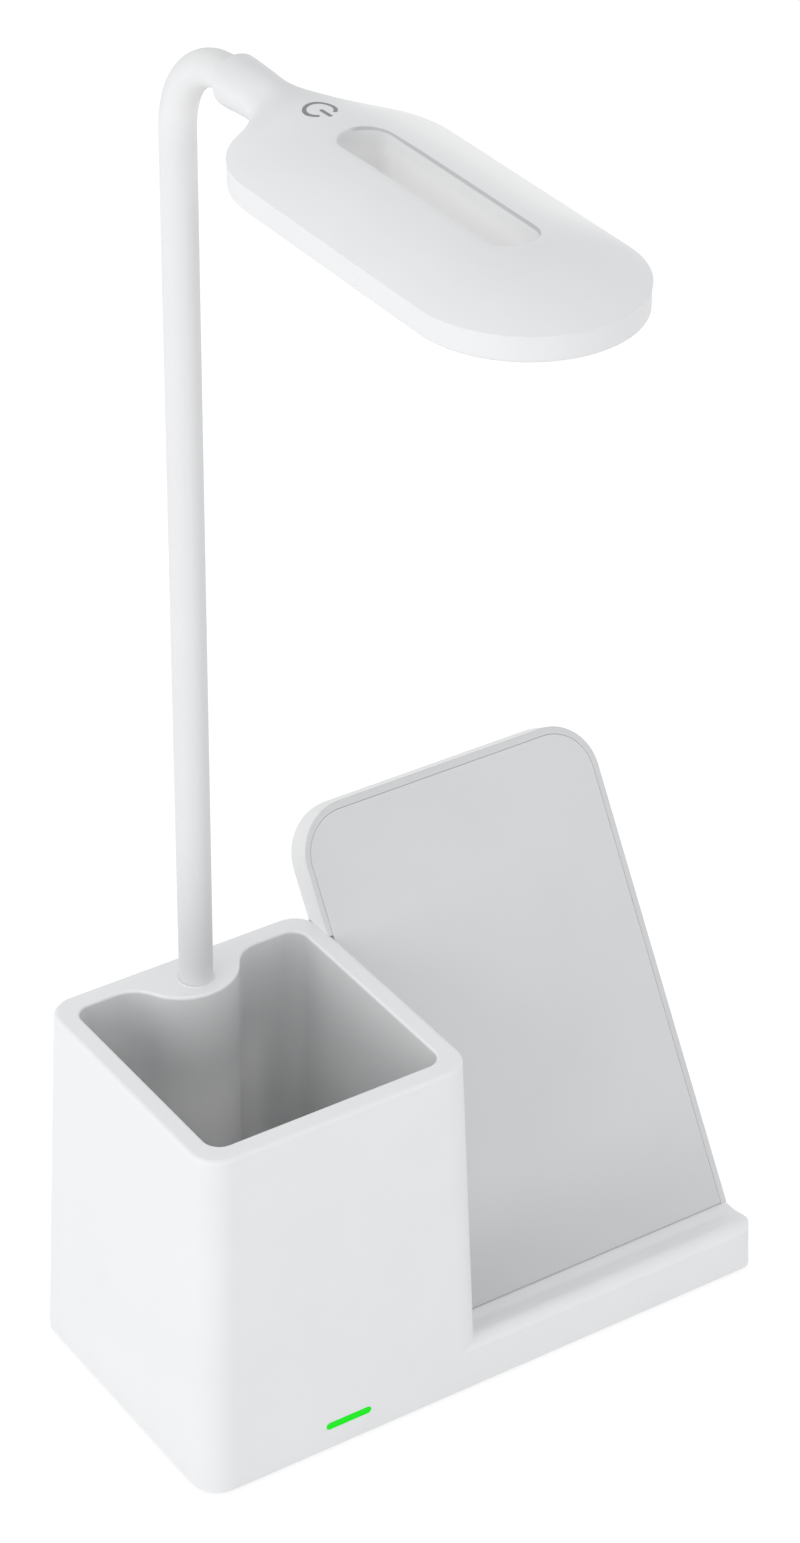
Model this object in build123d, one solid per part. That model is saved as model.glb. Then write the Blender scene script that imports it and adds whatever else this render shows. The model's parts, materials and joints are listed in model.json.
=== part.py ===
from build123d import *
import os
from math import atan, cos, degrees, pi, radians, sin, tan

# Desk organiser lamp: a tapered pen cup and a leaning phone stand on one base, with a
# flexible arm that rises from the back of the cup and carries a hollow oval lamp head.
# It is modelled with x to the right along the front, y to the back and z up, from the
# sharp front left corner of the base, and moved to the middle of its box at the end.

# Overall sizes, in millimetres
overall_length = 170.0
cup_width = 83.7
cup_depth = 84.8
cup_height = 100.6
cup_taper = 3.35
cup_corner = 7.6
base_end_corner = 4.0
foot_stand = 1.0

# Housing walls and the pen cup
housing_wall = 2.2
liner_wall = 2.0
rim_width = 5.4
rim_thickness = 3.0
rim_outer_round = 1.2
rim_inner_round = 0.6
opening_corner = 4.6
boss_radius = 14.5
boss_setback = 6.8
boss_blend = 9.0

# Ledge that holds the phone, as heights above the base, distances from the front and
# the angle at which the lip falls away behind its crest
ledge_front_height = 11.6
lip_height = 13.2
lip_crest = 3.9
lip_slope = 13.0
lip_foot_round = 5.85
seat = 13.1
deck_height = 12.1

# Phone stand
stand_angle = 58.16
stand_tuck = 4.4
stand_length = 136.3
stand_thickness = 9.0
stand_corner = 14.0
stand_back_round = 1.0
stand_front_round = 0.4
stand_back_wall = 2.0
pad_margin_left = 1.4
pad_margin_right = 1.9
pad_margin_top = 2.1
pad_corner = 12.0
pad_thickness = 1.8
pad_foot_gap = 0.3
coil_pocket_margin = 6.0
coil_pocket_foot = 16.0
coil_outer_radius = 20.5
coil_inner_radius = 9.5
coil_thickness = 1.2
coil_height_share = 0.55
ferrite_side = 43.0
ferrite_thickness = 0.8
charger_board_width = 43.0
charger_board_length = 22.0
charger_board_rise = 26.0
chip_side = 7.0
chip_height = 1.2

# Flexible arm
arm_back_margin = 13.5
arm_radius = 4.33
core_radius = 2.0
bend_radius = 21.65
arm_lead = 3.65
neck_height = 354.9
lean_joint_shares = (0.10, 0.36, 0.61, 0.86)
bend_joint_angles = (15.0, 45.0, 75.0)
joint_gap = 0.35
ball_depth = 2.2
ball_hole_gap = 0.4
ball_relief = 22.5

# Arm root in the housing
ferrule_radius = 3.9
ferrule_flange_radius = 4.95
ferrule_flange = 0.4
socket_radius = 6.4
socket_length = 34.0
ferrule_tail = 8.0
nut_across_flats = 10.4
nut_thickness = 5.0

# Lamp head
head_radius = 25.5
head_length = 116.3
rim_below_neck = 0.65
dome_height = 7.8
head_wall = 1.6
slot_length = 64.3
slot_radius = 6.15
slot_margin = 26.8
slot_wall = 1.4
slot_edge_round = 0.4
neck_radius = 6.2
neck_length = 19.0
neck_flare_length = 38.0
neck_mouth_round = 0.6
neck_flare_shares = ((0.0, 2.3, 1.0), (0.2, 2.2, 1.0), (0.36, 1.9, 1.0), (0.49, 1.55, 1.0),
                     (0.63, 1.18, 1.0), (0.8, 1.0, 1.0), (1.0, 1.0, 1.0))
sleeve_socket = 9.0
neck_bush_length = 7.0
core_tail = 2.0
wire_channel_radius = 1.0
wire_channel_rise = 1.6

# Diffuser and what is behind it
diffuser_height = 5.9
diffuser_inset = 0.15
diffuser_wall = 1.4
diffuser_floor = 1.4
diffuser_edge_round = 0.5
led_board_inset = 3.2
led_board_thickness = 1.2
led_board_drop = 1.2
led_length = 3.5
led_width = 2.8
led_height = 0.7
leds_per_side = 9
leds_per_end = 5
head_post_radius = 2.2
head_post_share = 0.62
touch_contact_radius = 2.4
touch_contact_wall = 0.5

# Power mark on the head
mark_margin = 14.8
mark_radius = 3.8
mark_stroke = 0.94
mark_gap = 80.7
mark_bar_length = 4.39
mark_bar_start = 0.2
mark_depth = 0.25

# Bottom cover, feet, ballast and screws
cover_thickness = 2.0
foot_radius = 6.0
foot_recess = 0.8
foot_inset = 13.0
ballast_thickness = 3.0
ballast_width = 52.0
ballast_right_margin = 14.0
ballast_board_gap = 2.15
ballast_corner = 3.0
post_radius = 3.4
post_inset = 8.2
post_end_inset = 7.2
cover_screw_shank = 1.3
cover_screw_head = 2.6
cover_screw_head_height = 1.2
cover_screw_length = 7.0
stand_screw_reach = 6.0
stand_screw_spread_share = 0.7
stand_screw_depth_share = 0.75

# Main board, charging inlet and indicator
main_board_length = 46.0
main_board_width = 26.0
board_thickness = 1.6
board_post_radius = 2.4
board_post_height = 1.2
board_post_inset = 3.0
driver_chip_side = 6.0
choke_radius = 2.8
choke_height = 2.6
inlet_width = 8.94
inlet_height = 3.2
inlet_length = 7.3
inlet_shell = 0.3
inlet_tongue_width = 6.7
inlet_tongue = 0.7
inlet_tongue_length = 4.6
inlet_reveal = 0.6
indicator_length = 13.2
indicator_height = 1.95
indicator_rise = 6.9
indicator_proud = 0.1
indicator_depth = 3.0
indicator_board_length = 20.0
indicator_board_rise = 6.4
indicator_board_thickness = 1.0
indicator_led_depth = 0.8

# Clearances between pieces
fit_gap = 0.1
seat_gap = 0.2
overrun = 1.0

# Places that follow from the sizes above
lean = cup_taper / cup_height
centre_x = cup_width / 2
bay_top = deck_height - housing_wall
stand_left = cup_width - stand_tuck
pocket_left = cup_width + coil_pocket_margin
pocket_right = overall_length - pad_margin_right - coil_pocket_margin
arm_setback = cup_depth - arm_back_margin
arm_bore = core_radius + fit_gap
arm_foot = cup_height + ferrule_flange
elbow_height = neck_height - bend_radius
straight_run = elbow_height - arm_foot
bend_run = bend_radius * pi / 2
neck_mouth = arm_setback - bend_radius - arm_lead
neck_root = neck_mouth - neck_flare_length
head_heel = neck_mouth - neck_length
head_tip = head_heel - head_length
head_rim = neck_height - rim_below_neck
head_bottom = head_rim - diffuser_height
heel_centre = head_heel - head_radius
tip_centre = head_tip + head_radius
head_spacing = heel_centre - tip_centre
slot_centre = head_heel - slot_margin - slot_length / 2
mark_setback = head_heel - mark_margin
arm_end = straight_run + bend_run + arm_lead + sleeve_socket


def plan(x_low, x_high, y_low, y_high, left_radius, right_radius, z):
    """Rectangle between two corners at height z, rounded at its left and right ends."""
    sheet = Rectangle(x_high - x_low, y_high - y_low)
    sheet = fillet(sheet.vertices().group_by(Axis.X)[0], left_radius)
    sheet = fillet(sheet.vertices().group_by(Axis.X)[-1], right_radius)
    return Pos((x_low + x_high) / 2, (y_low + y_high) / 2, z) * sheet


def leaning_block(length, right_radius, z_low, z_high, inset):
    """Block on the base's plan whose sides lean in as the cup's faces do."""
    sections = []
    for z in (z_low, z_high):
        side = lean * z + inset
        left_round = cup_corner - inset
        right_round = max(right_radius - inset, housing_wall / 2)
        sections.append(plan(side, length - side, side, cup_depth - side, left_round, right_round, z))
    return loft(sections, ruled=True)


def opening_plan(grow, z):
    """The cup's opening with the arm boss bulging into it, grown outwards by a wall."""
    side = cup_taper + rim_width - grow
    sheet = Pos(centre_x, cup_depth / 2) * Rectangle(cup_width - 2 * side, cup_depth - 2 * side)
    sheet -= Pos(centre_x, arm_setback + boss_setback) * Circle(boss_radius - grow)
    near_boss = sorted(sheet.vertices(), key=lambda v: abs(v.X - centre_x))[:2]
    sheet = fillet(near_boss, boss_blend + grow)
    corners = [v for v in sheet.vertices() if abs(abs(v.X - centre_x) - (cup_width / 2 - side)) < fit_gap]
    sheet = fillet(corners, opening_corner + grow)
    return Pos(0, 0, z) * sheet


def lip_points():
    """Front edge, crest, back, foot and end of the lip, as distance back and height."""
    front = (lean * ledge_front_height, ledge_front_height)
    crest = (lip_crest, lip_height)
    rise = crest[1] - front[1]
    crest_round = ((crest[0] - front[0]) ** 2 + rise ** 2) / (2 * rise)
    slope = radians(lip_slope)
    back = (crest[0] + crest_round * sin(slope), crest[1] - crest_round * (1 - cos(slope)))
    foot_height = deck_height + lip_foot_round * (1 - cos(slope))
    foot = (back[0] + (back[1] - foot_height) / tan(slope), foot_height)
    end = (foot[0] + lip_foot_round * sin(slope), deck_height)
    middle = (end[0] - lip_foot_round * sin(slope / 2), deck_height + lip_foot_round * (1 - cos(slope / 2)))
    return front, crest, back, foot, middle, end


def ledge_profile():
    """Side outline of the base: front face, rounded lip and flat deck."""
    front, crest, back, foot, middle, end = lip_points()
    with BuildLine(Plane.YZ) as outline:
        Polyline((-overrun, -overrun), (-overrun, front[1]), front)
        ThreePointArc(front, crest, back)
        Line(back, foot)
        ThreePointArc(foot, middle, end)
        Polyline(end, (cup_depth + overrun, deck_height), (cup_depth + overrun, -overrun),
                 (-overrun, -overrun))
    return extrude(make_face(outline.line), overall_length + overrun, dir=(1, 0, 0))


def cover_post_places():
    """Centres of the four posts that the bottom cover is screwed to."""
    right = overall_length - post_end_inset
    back = cup_depth - post_inset
    return [(post_inset, post_inset), (post_inset, back), (right, post_inset), (right, back)]


def stand_screw_places():
    """Centres of the screws that rise through the deck into the stand's foot."""
    middle = (cup_width + overall_length) / 2
    spread = stand_screw_spread_share * (overall_length - cup_width) / 2
    foot = stand_thickness / sin(radians(stand_angle))
    return [(middle + side * spread, seat + stand_screw_depth_share * foot) for side in (-1, 0, 1)]


def rod(radius, low, high):
    """Upright cylinder between two heights."""
    return Pos(0, 0, low) * Cylinder(radius, high - low, align=(Align.CENTER, Align.CENTER, Align.MIN))


def arm_axis_at(z=0):
    return Pos(centre_x, arm_setback, z)


def main_housing():
    """Cup, rim, liner, base and ledge in one moulding that is open underneath."""
    cup = leaning_block(cup_width, cup_corner, 0, cup_height, 0)
    cup = fillet(cup.faces().sort_by(Axis.Z)[-1].edges(), rim_outer_round)
    cup -= extrude(opening_plan(0, deck_height), cup_height - deck_height + overrun)
    rim = cup.faces().filter_by(Plane.XY).sort_by(Axis.Z)[-1]
    cup = fillet(rim.inner_wires()[0].edges(), rim_inner_round)
    base = leaning_block(overall_length, base_end_corner, 0, lip_height + overrun, 0) & ledge_profile()
    base -= extrude(opening_plan(0, deck_height), lip_height)
    body = cup + base
    bay = leaning_block(cup_width, cup_corner, -overrun, cup_height - rim_thickness, housing_wall)
    body -= bay - extrude(opening_plan(liner_wall, bay_top), cup_height)
    body -= leaning_block(overall_length, base_end_corner, -overrun, bay_top, housing_wall)
    socket_foot = cup_height - rim_thickness - socket_length
    body += arm_axis_at() * rod(socket_radius, socket_foot, cup_height - rim_thickness)
    for x, y in cover_post_places():
        body += Pos(x, y, 0) * rod(post_radius, cover_thickness, bay_top)
        body -= Pos(x, y, 0) * rod(cover_screw_shank, cover_thickness - overrun, bay_top - overrun)
    for x, y in stand_screw_places():
        body -= Pos(x, y, 0) * rod(cover_screw_shank + fit_gap, bay_top - overrun, deck_height + overrun)
    body -= arm_axis_at() * rod(ferrule_radius + fit_gap, socket_foot - overrun, cup_height + overrun)
    body -= indicator_prism(fit_gap, housing_wall + 2 * overrun)
    body -= inlet_prism(fit_gap, housing_wall + 3 * overrun)
    return body


def bottom_cover():
    """Flat cover inside the housing's lower edge, with recesses for the feet."""
    side = housing_wall + fit_gap
    flat = plan(side, overall_length - side, side, cup_depth - side, cup_corner - side,
                max(base_end_corner - side, housing_wall / 2), 0)
    cover = extrude(flat, cover_thickness)
    for x, y in cover_post_places():
        cover -= Pos(x, y, 0) * rod(cover_screw_shank + fit_gap, -overrun, cover_thickness + overrun)
        cover -= Pos(x, y, 0) * rod(cover_screw_head + fit_gap, -overrun, cover_screw_head_height + fit_gap)
    for x, y in foot_places():
        cover -= Pos(x, y, 0) * rod(foot_radius + fit_gap, -overrun, foot_recess)
    for x, y in board_post_places():
        cover += Pos(x, y, 0) * rod(board_post_radius, cover_thickness, cover_thickness + board_post_height)
    return cover


def foot_places():
    """Centres of the rubber feet, inside the cover's screws."""
    left = foot_inset + post_inset
    right = overall_length - foot_inset - post_end_inset
    return [(x, y) for x in (left, right) for y in (foot_inset, cup_depth - foot_inset)]


def rubber_foot(x, y):
    foot = rod(foot_radius, -foot_stand, foot_recess)
    foot = chamfer(foot.faces().sort_by(Axis.Z)[0].edges(), foot_stand / 2)
    return Pos(x, y, 0) * foot


def ballast_plate():
    """Steel weight that lies on the cover under the phone stand."""
    left = centre_x + main_board_length + ballast_board_gap
    right = overall_length - ballast_right_margin
    front = (cup_depth - ballast_width) / 2
    flat = plan(left, right, front, front + ballast_width, ballast_corner, ballast_corner, cover_thickness)
    return extrude(flat, ballast_thickness)


def pan_screw(shank_radius, head_radius, head_height, length):
    """Screw with its head's outer face at zero and its point upwards."""
    tip = length - shank_radius
    return rod(head_radius, 0, head_height) + rod(shank_radius, head_height, tip) + Pos(0, 0, tip) * Cone(
        shank_radius, shank_radius / 3, shank_radius, align=(Align.CENTER, Align.CENTER, Align.MIN))


def cover_screws():
    screw = pan_screw(cover_screw_shank - fit_gap, cover_screw_head, cover_screw_head_height,
                      cover_screw_length)
    return Compound([Pos(x, y, 0) * screw for x, y in cover_post_places()])


def stand_screws():
    length = cover_screw_head_height + housing_wall + stand_screw_reach
    screw = pan_screw(cover_screw_shank - fit_gap, cover_screw_head, cover_screw_head_height, length)
    low = bay_top - cover_screw_head_height
    return Compound([Pos(x, y, low) * screw for x, y in stand_screw_places()])


def board_centre():
    return centre_x + main_board_length / 2, cup_depth - housing_wall - inlet_reveal - main_board_width / 2


def board_post_places():
    x, y = board_centre()
    across = main_board_length / 2 - board_post_inset
    along = main_board_width / 2 - board_post_inset
    return [(x + i * across, y + j * along) for i in (-1, 1) for j in (-1, 1)]


def main_board():
    """Board with the light driver, set on the cover's posts beside the inlet."""
    x, y = board_centre()
    low = cover_thickness + board_post_height
    board = Pos(x, y, low + board_thickness / 2) * Box(main_board_length, main_board_width, board_thickness)
    top = low + board_thickness
    chip = Box(driver_chip_side, driver_chip_side, chip_height,
               align=(Align.CENTER, Align.CENTER, Align.MIN))
    board += Pos(x, y, top) * chip
    board += Pos(x + 2 * driver_chip_side, y, 0) * rod(choke_radius, top, top + choke_height)
    return board


def inlet_places():
    """Centre line height and x of the charging inlet, seated on the main board."""
    x, _ = board_centre()
    return x, cover_thickness + board_post_height + board_thickness + inlet_height / 2


def inlet_section(width, height):
    return Plane.XZ * SlotOverall(width, height)


def inlet_prism(grow, depth):
    """Rounded bar along y through the back wall, in the inlet's place."""
    x, z = inlet_places()
    section = inlet_section(inlet_width + 2 * grow, inlet_height + 2 * grow)
    return Pos(x, cup_depth + overrun, z) * extrude(section, depth)


def inlet_shell_can():
    """Metal can of the inlet, open to the back."""
    x, z = inlet_places()
    back = cup_depth - lean * z - inlet_reveal
    outer = extrude(inlet_section(inlet_width, inlet_height), inlet_length)
    hollow = extrude(inlet_section(inlet_width - 2 * inlet_shell, inlet_height - 2 * inlet_shell),
                     inlet_length - inlet_shell)
    return Pos(x, back, z) * (outer - hollow)


def inlet_contact_tongue():
    x, z = inlet_places()
    back = cup_depth - lean * z - inlet_reveal - inlet_length + inlet_shell
    tongue = Box(inlet_tongue_width, inlet_tongue_length, inlet_tongue,
                 align=(Align.CENTER, Align.MIN, Align.CENTER))
    return Pos(x, back, z) * tongue


def indicator_section(grow):
    return Plane.XZ * SlotOverall(indicator_length + 2 * grow, indicator_height + 2 * grow)


def indicator_prism(grow, depth):
    """Rounded bar along y through the front wall, in the indicator's place."""
    front = lean * indicator_rise - indicator_proud
    return Pos(centre_x, front + depth, indicator_rise) * extrude(indicator_section(grow), depth)


def indicator_board_front():
    return lean * indicator_rise - indicator_proud + indicator_depth + indicator_led_depth


def indicator_led():
    """Light source that touches the back of the indicator's light bar."""
    front = indicator_board_front() - indicator_led_depth
    lamp = Box(indicator_length / 2, indicator_led_depth, indicator_height,
               align=(Align.CENTER, Align.MIN, Align.CENTER))
    return Pos(centre_x, front, indicator_rise) * lamp


def indicator_board():
    """Upright strip of board that stands on the cover behind the light bar."""
    strip = Box(indicator_board_length, indicator_board_thickness, indicator_board_rise,
                align=(Align.CENTER, Align.MIN, Align.MIN))
    return Pos(centre_x, indicator_board_front(), cover_thickness) * strip


def stand_plane():
    """Plane of the stand's front: x right, y up the slope, z out of the front."""
    angle = radians(stand_angle)
    return Plane(origin=(0, seat, deck_height), x_dir=(1, 0, 0), z_dir=(0, -sin(angle), cos(angle)))


def leaning_panel(left, right, top, corner, front, back):
    """Panel parallel to the stand's front, square at its foot and rounded at its top."""
    foot = -2 * stand_thickness
    sheet = Pos((left + right) / 2, (foot + top) / 2, back) * Rectangle(right - left, top - foot)
    sheet = fillet(sheet.vertices().group_by(Axis.Y)[-1], corner)
    return extrude(sheet, front - back)


def on_deck(panel, gap=0):
    """Leans a panel back over the deck and keeps it clear of the cup."""
    placed = stand_plane().location * panel
    reach = overall_length + stand_length
    above = Box(2 * reach, 2 * reach, reach, align=(Align.CENTER, Align.CENTER, Align.MIN))
    placed &= Pos(0, 0, deck_height + gap) * above
    return placed - leaning_block(cup_width, cup_corner, 0, cup_height, -seat_gap)


def pad_outline():
    """Left, right, top and corner of the charging pad on the stand's front."""
    left = stand_left + pad_margin_left
    return left, overall_length - pad_margin_right, stand_length - pad_margin_top, pad_corner


def coil_place():
    """Centre of the charging coil on the stand's front."""
    return (cup_width + overall_length) / 2, coil_height_share * stand_length


def stand_shell():
    """Back of the phone stand: a tray that the pad closes from the front."""
    slab = leaning_panel(stand_left, overall_length, stand_length, stand_corner, 0, -stand_thickness)
    slab = fillet(slab.faces().sort_by(Axis.Z)[0].edges(), stand_back_round)
    slab = fillet(slab.faces().sort_by(Axis.Z)[-1].edges(), stand_front_round)
    left, right, top, corner = pad_outline()
    slab -= leaning_panel(left - fit_gap, right + fit_gap, top + fit_gap, corner + fit_gap, overrun,
                          -pad_thickness)
    pocket = Rectangle(pocket_right - pocket_left, top - coil_pocket_margin - coil_pocket_foot)
    pocket = fillet(pocket.vertices(), coil_pocket_margin)
    middle = ((pocket_left + pocket_right) / 2, (top - coil_pocket_margin + coil_pocket_foot) / 2)
    slab -= Pos(middle[0], middle[1], stand_back_wall - stand_thickness) * extrude(pocket, stand_thickness)
    shell = on_deck(slab)
    for x, y in stand_screw_places():
        hole = rod(cover_screw_shank, deck_height - overrun, deck_height + stand_screw_reach)
        shell -= Pos(x, y, 0) * hole
    return shell


def charging_pad():
    """Flat front panel that the phone leans on."""
    left, right, top, corner = pad_outline()
    return on_deck(leaning_panel(left, right, top, corner, 0, -pad_thickness), pad_foot_gap)


def charging_coil():
    x, y = coil_place()
    ring = Circle(coil_outer_radius) - Circle(coil_inner_radius)
    return stand_plane().location * Pos(x, y, -pad_thickness) * extrude(ring, -coil_thickness)


def ferrite_sheet():
    x, y = coil_place()
    sheet = Rectangle(ferrite_side, ferrite_side)
    behind_coil = Pos(x, y, -pad_thickness - coil_thickness)
    return stand_plane().location * behind_coil * extrude(sheet, -ferrite_thickness)


def charger_board():
    """Board that drives the coil, seated on the tray's floor below it."""
    x, _ = coil_place()
    floor = stand_back_wall - stand_thickness
    board = Box(charger_board_width, charger_board_length, board_thickness,
                align=(Align.CENTER, Align.CENTER, Align.MIN))
    chip = Box(chip_side, chip_side, chip_height, align=(Align.CENTER, Align.CENTER, Align.MIN))
    board += Pos(0, 0, board_thickness) * chip
    board += Pos(2 * chip_side, 0, board_thickness) * chip
    return stand_plane().location * Pos(x, charger_board_rise + charger_board_length / 2, floor) * board


def arm_ferrule():
    """Threaded root of the arm: a flange on the rim and a shank through the boss."""
    foot = cup_height - rim_thickness - socket_length - ferrule_tail
    flange = rod(ferrule_flange_radius, cup_height, arm_foot)
    flange = fillet(flange.faces().sort_by(Axis.Z)[-1].edges(), ferrule_flange / 2)
    shank = rod(ferrule_radius, foot, cup_height)
    return arm_axis_at() * (flange + shank - rod(core_radius + fit_gap, foot - overrun, arm_foot + overrun))


def arm_lock_nut():
    """Hexagon nut that pulls the ferrule down on the housing's socket."""
    high = cup_height - rim_thickness - socket_length
    hexagon = RegularPolygon(nut_across_flats / 2, 6, major_radius=False) - Circle(ferrule_radius + fit_gap)
    return arm_axis_at(high - nut_thickness) * extrude(hexagon, nut_thickness)


def arm_plane(run):
    """Cross plane of the arm at a distance along its centre line, z along the arm."""
    if run <= straight_run:
        return Plane(origin=(centre_x, arm_setback, arm_foot + run), x_dir=(1, 0, 0), z_dir=(0, 0, 1))
    turn = min((run - straight_run) / bend_radius, pi / 2)
    past = max(run - straight_run - bend_run, 0)
    y = arm_setback - bend_radius + bend_radius * cos(turn) - past
    z = elbow_height + bend_radius * sin(turn)
    return Plane(origin=(centre_x, y, z), x_dir=(1, 0, 0), z_dir=(0, -sin(turn), cos(turn)))


def arm_tube(radius, bore, start, end):
    """Length of the arm between two distances along its centre line."""
    section = Circle(radius) - Circle(bore) if bore else Circle(radius)
    bend_end = straight_run + bend_run
    pieces = []
    if start < straight_run:
        pieces.append(arm_plane(start).location * extrude(section, min(end, straight_run) - start))
    low = max(start, straight_run)
    high = min(end, bend_end)
    if high > low:
        hinge = Axis((centre_x, arm_setback - bend_radius, elbow_height), (1, 0, 0))
        turn = degrees((high - low) / bend_radius)
        pieces.append(revolve(arm_plane(low).location * section, hinge, turn))
    if end > bend_end:
        low = max(start, bend_end)
        pieces.append(arm_plane(low).location * extrude(section, end - low))
    whole = pieces[0]
    for piece in pieces[1:]:
        whole += piece
    return whole


def joint_runs():
    """Distances along the arm of its seven joints."""
    lean_runs = [share * straight_run for share in lean_joint_shares]
    return lean_runs + [straight_run + bend_radius * radians(angle) for angle in bend_joint_angles]


def joint_ball(radius, depth, hole):
    """Part of a ball below the joint plane, with a hole that widens downwards."""
    ball = Sphere(radius) & Box(2 * radius, 2 * radius, depth, align=(Align.CENTER, Align.CENTER, Align.MAX))
    if hole:
        narrow = hole + ball_hole_gap
        wide = narrow + depth * tan(radians(ball_relief))
        ball -= Cone(wide, narrow, depth, align=(Align.CENTER, Align.CENTER, Align.MAX))
    return ball


def arm_piece(radius, hole, depth, start, end, first, last):
    """One link of the arm: a ball at its lower end and a socket for the next at its upper."""
    piece = arm_tube(radius, hole, start, end)
    if not first:
        piece += arm_plane(start).location * joint_ball(radius, depth, hole)
    if not last:
        piece -= arm_plane(end).location * Sphere(radius + joint_gap)
    return piece


def arm_links():
    """Sleeve and core of each link, by name."""
    core_foot = -(ferrule_flange + rim_thickness + socket_length + ferrule_tail)
    stops = [0.0] + joint_runs() + [arm_end]
    last = len(stops) - 2
    links = {}
    for index in range(len(stops) - 1):
        start, end = stops[index], stops[index + 1]
        first = index == 0
        final = index == last
        core_start = core_foot if first else start
        core_end = end + neck_bush_length + core_tail if final else end
        links[f"arm_sleeve_{index}"] = arm_piece(arm_radius, arm_bore, ball_depth, start, end, first, final)
        links[f"arm_core_{index}"] = arm_piece(core_radius, 0, core_radius, core_start, core_end, first,
                                               final)
    return links


def oval(radius, z):
    """Plan of the head, or of a smaller oval inside it, at height z."""
    flat = Rot(0, 0, 90) * SlotCenterToCenter(head_spacing, 2 * radius)
    return Pos(centre_x, (heel_centre + tip_centre) / 2, z) * flat


def slot_oval(radius, z):
    """Plan of the slot through the head, or of a wall round it."""
    flat = Rot(0, 0, 90) * SlotCenterToCenter(slot_length - 2 * slot_radius, 2 * radius)
    return Pos(centre_x, slot_centre, z) * flat


def dome(radius, height, z):
    """Shallow dome on an oval: an arc carried straight along and turned at both ends."""
    arc_radius = (radius ** 2 + height ** 2) / (2 * height)
    half_angle = degrees(atan(radius / (arc_radius - height))) / 2
    turn = radians(half_angle)
    mid = (arc_radius * sin(turn), arc_radius * cos(turn) - arc_radius + height)
    with BuildLine(Plane.XZ) as outline:
        Polyline((0, height), (0, 0), (radius, 0))
        ThreePointArc((radius, 0), mid, (0, height))
    half = make_face(outline.line)
    heel = revolve(half, Axis.Z, 180)
    middle = extrude(half, head_spacing, dir=(0, -1, 0))
    middle += mirror(middle, Plane.YZ)
    whole = Pos(0, heel_centre) * heel + Pos(0, heel_centre) * middle
    whole += Pos(0, tip_centre) * Rot(0, 0, 180) * heel
    return Pos(centre_x, 0, z) * whole


def neck_rod(radius, low, high):
    """Round bar along the neck between two distances from the front."""
    bar = Cylinder(radius, high - low, align=(Align.CENTER, Align.CENTER, Align.MIN))
    return Pos(centre_x, low, neck_height) * Rot(-90, 0, 0) * bar


def neck_flare():
    """Round neck that widens like a trumpet into the dome."""
    sections = []
    for along, wide, high in neck_flare_shares:
        y = neck_root + along * (neck_mouth - neck_root)
        place = Plane(origin=(centre_x, y, neck_height), x_dir=(1, 0, 0), z_dir=(0, -1, 0))
        sections.append(place.location * Ellipse(wide * neck_radius, high * neck_radius))
    return loft(sections)


def head_form():
    """Outside of the head's upper shell, before it is hollowed."""
    neck = neck_flare()
    neck = fillet(neck.faces().sort_by(Axis.Y)[-1].edges(), neck_mouth_round)
    below_rim = oval(head_radius - diffuser_inset + seat_gap, head_bottom - overrun)
    return dome(head_radius, dome_height, head_rim) + (neck - extrude(below_rim, diffuser_height + overrun))


def head_posts():
    """Centres of the posts that carry the light board."""
    across = head_post_share * head_radius
    return [(centre_x + i * across, y) for i in (-1, 1) for y in (heel_centre, tip_centre)]


def power_mark_prism():
    """Open ring with a bar in its gap, as an upright prism through the head's top."""
    ring = Circle(mark_radius) - Circle(mark_radius - mark_stroke)
    reach = 2 * mark_radius
    half_gap = reach * tan(radians(mark_gap / 2))
    ring -= make_face(Polyline((0, 0), (-half_gap, -reach), (half_gap, -reach), (0, 0)))
    for turn in (-mark_gap / 2, mark_gap / 2):
        ring += Rot(0, 0, turn) * Pos(0, mark_stroke / 2 - mark_radius) * Circle(mark_stroke / 2)
    bar_centre = mark_bar_start + mark_bar_length / 2
    bar = Pos(0, -bar_centre) * Rot(0, 0, 90) * SlotOverall(mark_bar_length, mark_stroke)
    return Pos(centre_x, mark_setback, head_rim) * extrude(ring + bar, 2 * dome_height)


def power_mark(form):
    """Mark laid into the skin of the head's top."""
    return (power_mark_prism() & form) - Pos(0, 0, -mark_depth) * form


def is_on_slot(edge):
    """Whether an edge lies on the wall of the slot through the head."""
    middle = edge.position_at(0.5)
    beyond = max(abs(middle.Y - slot_centre) - (slot_length / 2 - slot_radius), 0)
    return abs((beyond ** 2 + (middle.X - centre_x) ** 2) ** 0.5 - slot_radius) < fit_gap


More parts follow.
